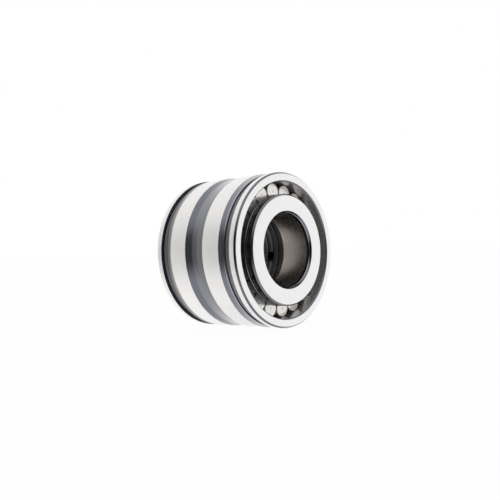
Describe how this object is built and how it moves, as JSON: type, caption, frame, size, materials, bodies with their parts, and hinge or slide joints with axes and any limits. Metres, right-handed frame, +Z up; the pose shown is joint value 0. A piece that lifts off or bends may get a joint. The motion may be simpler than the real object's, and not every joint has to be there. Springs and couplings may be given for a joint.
{
  "type": "cylindrical roller bearing",
  "caption": "Full-complement cylindrical roller bearing: grooved outer ring, split ribbed inner ring with a bore strap, and rollers that roll as the inner ring turns.",
  "frame": {"origin": "centre of the bearing: on its axis, midway between its two sides", "axes": "+Y along the bearing's axis from the front side to the rear side, +Z up, +X to the right of someone facing the front side"},
  "size_m": [0.042, 0.03, 0.042],
  "materials": {
    "ring_steel": "ground bearing steel, fine satin with polished bands",
    "inner_ring_steel": "ground bearing steel, satin side face and polished rib",
    "roller_steel": "superfinished bearing steel with turned end faces",
    "strap_steel": "dark rolled sheet steel"
  },
  "bodies": {
    "outer_ring": {"outer_ring": "ring_steel"},
    "inner_ring": {"inner_ring_front": "inner_ring_steel", "inner_ring_rear": "inner_ring_steel", "retaining_strap": "strap_steel"},
    "front_row_orbit_body": {"front_roller_01": "roller_steel"},
    "front_roller_02_body": {"front_roller_02": "roller_steel"},
    "front_roller_03_body": {"front_roller_03": "roller_steel"},
    "front_roller_04_body": {"front_roller_04": "roller_steel"},
    "front_roller_05_body": {"front_roller_05": "roller_steel"},
    "front_roller_06_body": {"front_roller_06": "roller_steel"},
    "front_roller_07_body": {"front_roller_07": "roller_steel"},
    "front_roller_08_body": {"front_roller_08": "roller_steel"},
    "front_roller_09_body": {"front_roller_09": "roller_steel"},
    "front_roller_10_body": {"front_roller_10": "roller_steel"},
    "front_roller_11_body": {"front_roller_11": "roller_steel"},
    "front_roller_12_body": {"front_roller_12": "roller_steel"},
    "front_roller_13_body": {"front_roller_13": "roller_steel"},
    "front_roller_14_body": {"front_roller_14": "roller_steel"},
    "front_roller_15_body": {"front_roller_15": "roller_steel"},
    "front_roller_16_body": {"front_roller_16": "roller_steel"},
    "front_roller_17_body": {"front_roller_17": "roller_steel"},
    "front_roller_18_body": {"front_roller_18": "roller_steel"},
    "front_roller_19_body": {"front_roller_19": "roller_steel"},
    "front_roller_20_body": {"front_roller_20": "roller_steel"},
    "rear_row_orbit_body": {"rear_roller_01": "roller_steel"},
    "rear_roller_02_body": {"rear_roller_02": "roller_steel"},
    "rear_roller_03_body": {"rear_roller_03": "roller_steel"},
    "rear_roller_04_body": {"rear_roller_04": "roller_steel"},
    "rear_roller_05_body": {"rear_roller_05": "roller_steel"},
    "rear_roller_06_body": {"rear_roller_06": "roller_steel"},
    "rear_roller_07_body": {"rear_roller_07": "roller_steel"},
    "rear_roller_08_body": {"rear_roller_08": "roller_steel"},
    "rear_roller_09_body": {"rear_roller_09": "roller_steel"},
    "rear_roller_10_body": {"rear_roller_10": "roller_steel"},
    "rear_roller_11_body": {"rear_roller_11": "roller_steel"},
    "rear_roller_12_body": {"rear_roller_12": "roller_steel"},
    "rear_roller_13_body": {"rear_roller_13": "roller_steel"},
    "rear_roller_14_body": {"rear_roller_14": "roller_steel"},
    "rear_roller_15_body": {"rear_roller_15": "roller_steel"},
    "rear_roller_16_body": {"rear_roller_16": "roller_steel"},
    "rear_roller_17_body": {"rear_roller_17": "roller_steel"},
    "rear_roller_18_body": {"rear_roller_18": "roller_steel"},
    "rear_roller_19_body": {"rear_roller_19": "roller_steel"},
    "rear_roller_20_body": {"rear_roller_20": "roller_steel"}
  },
  "joints": [
    {"name": "inner_ring_spin", "type": "hinge", "parent": "outer_ring", "child": "inner_ring", "pos_m": [0, 0, 0], "axis": [0, 1, 0], "continuous": true},
    {"name": "front_row_orbit", "type": "hinge", "parent": "outer_ring", "child": "front_row_orbit_body", "pos_m": [0, 0, 0], "axis": [0, 1, 0], "continuous": true},
    {"name": "front_roller_02_spin", "type": "hinge", "parent": "front_row_orbit_body", "child": "front_roller_02_body", "pos_m": [-0.00595, -0.00665, 0.0148], "axis": [0, 1, 0], "continuous": true},
    {"name": "front_roller_03_spin", "type": "hinge", "parent": "front_row_orbit_body", "child": "front_roller_03_body", "pos_m": [-0.01023, -0.00665, 0.01224], "axis": [0, 1, 0], "continuous": true},
    {"name": "front_roller_04_spin", "type": "hinge", "parent": "front_row_orbit_body", "child": "front_roller_04_body", "pos_m": [-0.01352, -0.00665, 0.00848], "axis": [0, 1, 0], "continuous": true},
    {"name": "front_roller_05_spin", "type": "hinge", "parent": "front_row_orbit_body", "child": "front_roller_05_body", "pos_m": [-0.01547, -0.00665, 0.00389], "axis": [0, 1, 0], "continuous": true},
    {"name": "front_roller_06_spin", "type": "hinge", "parent": "front_row_orbit_body", "child": "front_roller_06_body", "pos_m": [-0.01592, -0.00665, -0.00109], "axis": [0, 1, 0], "continuous": true},
    {"name": "front_roller_07_spin", "type": "hinge", "parent": "front_row_orbit_body", "child": "front_roller_07_body", "pos_m": [-0.0148, -0.00665, -0.00595], "axis": [0, 1, 0], "continuous": true},
    {"name": "front_roller_08_spin", "type": "hinge", "parent": "front_row_orbit_body", "child": "front_roller_08_body", "pos_m": [-0.01224, -0.00665, -0.01023], "axis": [0, 1, 0], "continuous": true},
    {"name": "front_roller_09_spin", "type": "hinge", "parent": "front_row_orbit_body", "child": "front_roller_09_body", "pos_m": [-0.00848, -0.00665, -0.01352], "axis": [0, 1, 0], "continuous": true},
    {"name": "front_roller_10_spin", "type": "hinge", "parent": "front_row_orbit_body", "child": "front_roller_10_body", "pos_m": [-0.00389, -0.00665, -0.01547], "axis": [0, 1, 0], "continuous": true},
    {"name": "front_roller_11_spin", "type": "hinge", "parent": "front_row_orbit_body", "child": "front_roller_11_body", "pos_m": [0.00109, -0.00665, -0.01592], "axis": [0, 1, 0], "continuous": true},
    {"name": "front_roller_12_spin", "type": "hinge", "parent": "front_row_orbit_body", "child": "front_roller_12_body", "pos_m": [0.00595, -0.00665, -0.0148], "axis": [0, 1, 0], "continuous": true},
    {"name": "front_roller_13_spin", "type": "hinge", "parent": "front_row_orbit_body", "child": "front_roller_13_body", "pos_m": [0.01023, -0.00665, -0.01224], "axis": [0, 1, 0], "continuous": true},
    {"name": "front_roller_14_spin", "type": "hinge", "parent": "front_row_orbit_body", "child": "front_roller_14_body", "pos_m": [0.01352, -0.00665, -0.00848], "axis": [0, 1, 0], "continuous": true},
    {"name": "front_roller_15_spin", "type": "hinge", "parent": "front_row_orbit_body", "child": "front_roller_15_body", "pos_m": [0.01547, -0.00665, -0.00389], "axis": [0, 1, 0], "continuous": true},
    {"name": "front_roller_16_spin", "type": "hinge", "parent": "front_row_orbit_body", "child": "front_roller_16_body", "pos_m": [0.01592, -0.00665, 0.00109], "axis": [0, 1, 0], "continuous": true},
    {"name": "front_roller_17_spin", "type": "hinge", "parent": "front_row_orbit_body", "child": "front_roller_17_body", "pos_m": [0.0148, -0.00665, 0.00595], "axis": [0, 1, 0], "continuous": true},
    {"name": "front_roller_18_spin", "type": "hinge", "parent": "front_row_orbit_body", "child": "front_roller_18_body", "pos_m": [0.01224, -0.00665, 0.01023], "axis": [0, 1, 0], "continuous": true},
    {"name": "front_roller_19_spin", "type": "hinge", "parent": "front_row_orbit_body", "child": "front_roller_19_body", "pos_m": [0.00848, -0.00665, 0.01352], "axis": [0, 1, 0], "continuous": true},
    {"name": "front_roller_20_spin", "type": "hinge", "parent": "front_row_orbit_body", "child": "front_roller_20_body", "pos_m": [0.00389, -0.00665, 0.01547], "axis": [0, 1, 0], "continuous": true},
    {"name": "rear_row_orbit", "type": "hinge", "parent": "outer_ring", "child": "rear_row_orbit_body", "pos_m": [0, 0, 0], "axis": [0, 1, 0], "continuous": true},
    {"name": "rear_roller_02_spin", "type": "hinge", "parent": "rear_row_orbit_body", "child": "rear_roller_02_body", "pos_m": [-0.00819, 0.00665, 0.01369], "axis": [0, 1, 0], "continuous": true},
    {"name": "rear_roller_03_spin", "type": "hinge", "parent": "rear_row_orbit_body", "child": "rear_roller_03_body", "pos_m": [-0.01202, 0.00665, 0.01049], "axis": [0, 1, 0], "continuous": true},
    {"name": "rear_roller_04_spin", "type": "hinge", "parent": "rear_row_orbit_body", "child": "rear_roller_04_body", "pos_m": [-0.01468, 0.00665, 0.00626], "axis": [0, 1, 0], "continuous": true},
    {"name": "rear_roller_05_spin", "type": "hinge", "parent": "rear_row_orbit_body", "child": "rear_roller_05_body", "pos_m": [-0.01589, 0.00665, 0.00142], "axis": [0, 1, 0], "continuous": true},
    {"name": "rear_roller_06_spin", "type": "hinge", "parent": "rear_row_orbit_body", "child": "rear_roller_06_body", "pos_m": [-0.01555, 0.00665, -0.00356], "axis": [0, 1, 0], "continuous": true},
    {"name": "rear_roller_07_spin", "type": "hinge", "parent": "rear_row_orbit_body", "child": "rear_roller_07_body", "pos_m": [-0.01369, 0.00665, -0.00819], "axis": [0, 1, 0], "continuous": true},
    {"name": "rear_roller_08_spin", "type": "hinge", "parent": "rear_row_orbit_body", "child": "rear_roller_08_body", "pos_m": [-0.01049, 0.00665, -0.01202], "axis": [0, 1, 0], "continuous": true},
    {"name": "rear_roller_09_spin", "type": "hinge", "parent": "rear_row_orbit_body", "child": "rear_roller_09_body", "pos_m": [-0.00626, 0.00665, -0.01468], "axis": [0, 1, 0], "continuous": true},
    {"name": "rear_roller_10_spin", "type": "hinge", "parent": "rear_row_orbit_body", "child": "rear_roller_10_body", "pos_m": [-0.00142, 0.00665, -0.01589], "axis": [0, 1, 0], "continuous": true},
    {"name": "rear_roller_11_spin", "type": "hinge", "parent": "rear_row_orbit_body", "child": "rear_roller_11_body", "pos_m": [0.00356, 0.00665, -0.01555], "axis": [0, 1, 0], "continuous": true},
    {"name": "rear_roller_12_spin", "type": "hinge", "parent": "rear_row_orbit_body", "child": "rear_roller_12_body", "pos_m": [0.00819, 0.00665, -0.01369], "axis": [0, 1, 0], "continuous": true},
    {"name": "rear_roller_13_spin", "type": "hinge", "parent": "rear_row_orbit_body", "child": "rear_roller_13_body", "pos_m": [0.01202, 0.00665, -0.01049], "axis": [0, 1, 0], "continuous": true},
    {"name": "rear_roller_14_spin", "type": "hinge", "parent": "rear_row_orbit_body", "child": "rear_roller_14_body", "pos_m": [0.01468, 0.00665, -0.00626], "axis": [0, 1, 0], "continuous": true},
    {"name": "rear_roller_15_spin", "type": "hinge", "parent": "rear_row_orbit_body", "child": "rear_roller_15_body", "pos_m": [0.01589, 0.00665, -0.00142], "axis": [0, 1, 0], "continuous": true},
    {"name": "rear_roller_16_spin", "type": "hinge", "parent": "rear_row_orbit_body", "child": "rear_roller_16_body", "pos_m": [0.01555, 0.00665, 0.00356], "axis": [0, 1, 0], "continuous": true},
    {"name": "rear_roller_17_spin", "type": "hinge", "parent": "rear_row_orbit_body", "child": "rear_roller_17_body", "pos_m": [0.01369, 0.00665, 0.00819], "axis": [0, 1, 0], "continuous": true},
    {"name": "rear_roller_18_spin", "type": "hinge", "parent": "rear_row_orbit_body", "child": "rear_roller_18_body", "pos_m": [0.01049, 0.00665, 0.01202], "axis": [0, 1, 0], "continuous": true},
    {"name": "rear_roller_19_spin", "type": "hinge", "parent": "rear_row_orbit_body", "child": "rear_roller_19_body", "pos_m": [0.00626, 0.00665, 0.01468], "axis": [0, 1, 0], "continuous": true},
    {"name": "rear_roller_20_spin", "type": "hinge", "parent": "rear_row_orbit_body", "child": "rear_roller_20_body", "pos_m": [0.00142, 0.00665, 0.01589], "axis": [0, 1, 0], "continuous": true}
  ],
  "couplings": [
    {"joint": "front_row_orbit", "follows": "inner_ring_spin", "ratio": 0.42322},
    {"joint": "front_roller_02_spin", "follows": "inner_ring_spin", "ratio": -3.1793},
    {"joint": "front_roller_03_spin", "follows": "inner_ring_spin", "ratio": -3.1793},
    {"joint": "front_roller_04_spin", "follows": "inner_ring_spin", "ratio": -3.1793},
    {"joint": "front_roller_05_spin", "follows": "inner_ring_spin", "ratio": -3.1793},
    {"joint": "front_roller_06_spin", "follows": "inner_ring_spin", "ratio": -3.1793},
    {"joint": "front_roller_07_spin", "follows": "inner_ring_spin", "ratio": -3.1793},
    {"joint": "front_roller_08_spin", "follows": "inner_ring_spin", "ratio": -3.1793},
    {"joint": "front_roller_09_spin", "follows": "inner_ring_spin", "ratio": -3.1793},
    {"joint": "front_roller_10_spin", "follows": "inner_ring_spin", "ratio": -3.1793},
    {"joint": "front_roller_11_spin", "follows": "inner_ring_spin", "ratio": -3.1793},
    {"joint": "front_roller_12_spin", "follows": "inner_ring_spin", "ratio": -3.1793},
    {"joint": "front_roller_13_spin", "follows": "inner_ring_spin", "ratio": -3.1793},
    {"joint": "front_roller_14_spin", "follows": "inner_ring_spin", "ratio": -3.1793},
    {"joint": "front_roller_15_spin", "follows": "inner_ring_spin", "ratio": -3.1793},
    {"joint": "front_roller_16_spin", "follows": "inner_ring_spin", "ratio": -3.1793},
    {"joint": "front_roller_17_spin", "follows": "inner_ring_spin", "ratio": -3.1793},
    {"joint": "front_roller_18_spin", "follows": "inner_ring_spin", "ratio": -3.1793},
    {"joint": "front_roller_19_spin", "follows": "inner_ring_spin", "ratio": -3.1793},
    {"joint": "front_roller_20_spin", "follows": "inner_ring_spin", "ratio": -3.1793},
    {"joint": "rear_row_orbit", "follows": "inner_ring_spin", "ratio": 0.42322},
    {"joint": "rear_roller_02_spin", "follows": "inner_ring_spin", "ratio": -3.1793},
    {"joint": "rear_roller_03_spin", "follows": "inner_ring_spin", "ratio": -3.1793},
    {"joint": "rear_roller_04_spin", "follows": "inner_ring_spin", "ratio": -3.1793},
    {"joint": "rear_roller_05_spin", "follows": "inner_ring_spin", "ratio": -3.1793},
    {"joint": "rear_roller_06_spin", "follows": "inner_ring_spin", "ratio": -3.1793},
    {"joint": "rear_roller_07_spin", "follows": "inner_ring_spin", "ratio": -3.1793},
    {"joint": "rear_roller_08_spin", "follows": "inner_ring_spin", "ratio": -3.1793},
    {"joint": "rear_roller_09_spin", "follows": "inner_ring_spin", "ratio": -3.1793},
    {"joint": "rear_roller_10_spin", "follows": "inner_ring_spin", "ratio": -3.1793},
    {"joint": "rear_roller_11_spin", "follows": "inner_ring_spin", "ratio": -3.1793},
    {"joint": "rear_roller_12_spin", "follows": "inner_ring_spin", "ratio": -3.1793},
    {"joint": "rear_roller_13_spin", "follows": "inner_ring_spin", "ratio": -3.1793},
    {"joint": "rear_roller_14_spin", "follows": "inner_ring_spin", "ratio": -3.1793},
    {"joint": "rear_roller_15_spin", "follows": "inner_ring_spin", "ratio": -3.1793},
    {"joint": "rear_roller_16_spin", "follows": "inner_ring_spin", "ratio": -3.1793},
    {"joint": "rear_roller_17_spin", "follows": "inner_ring_spin", "ratio": -3.1793},
    {"joint": "rear_roller_18_spin", "follows": "inner_ring_spin", "ratio": -3.1793},
    {"joint": "rear_roller_19_spin", "follows": "inner_ring_spin", "ratio": -3.1793},
    {"joint": "rear_roller_20_spin", "follows": "inner_ring_spin", "ratio": -3.1793}
  ]
}
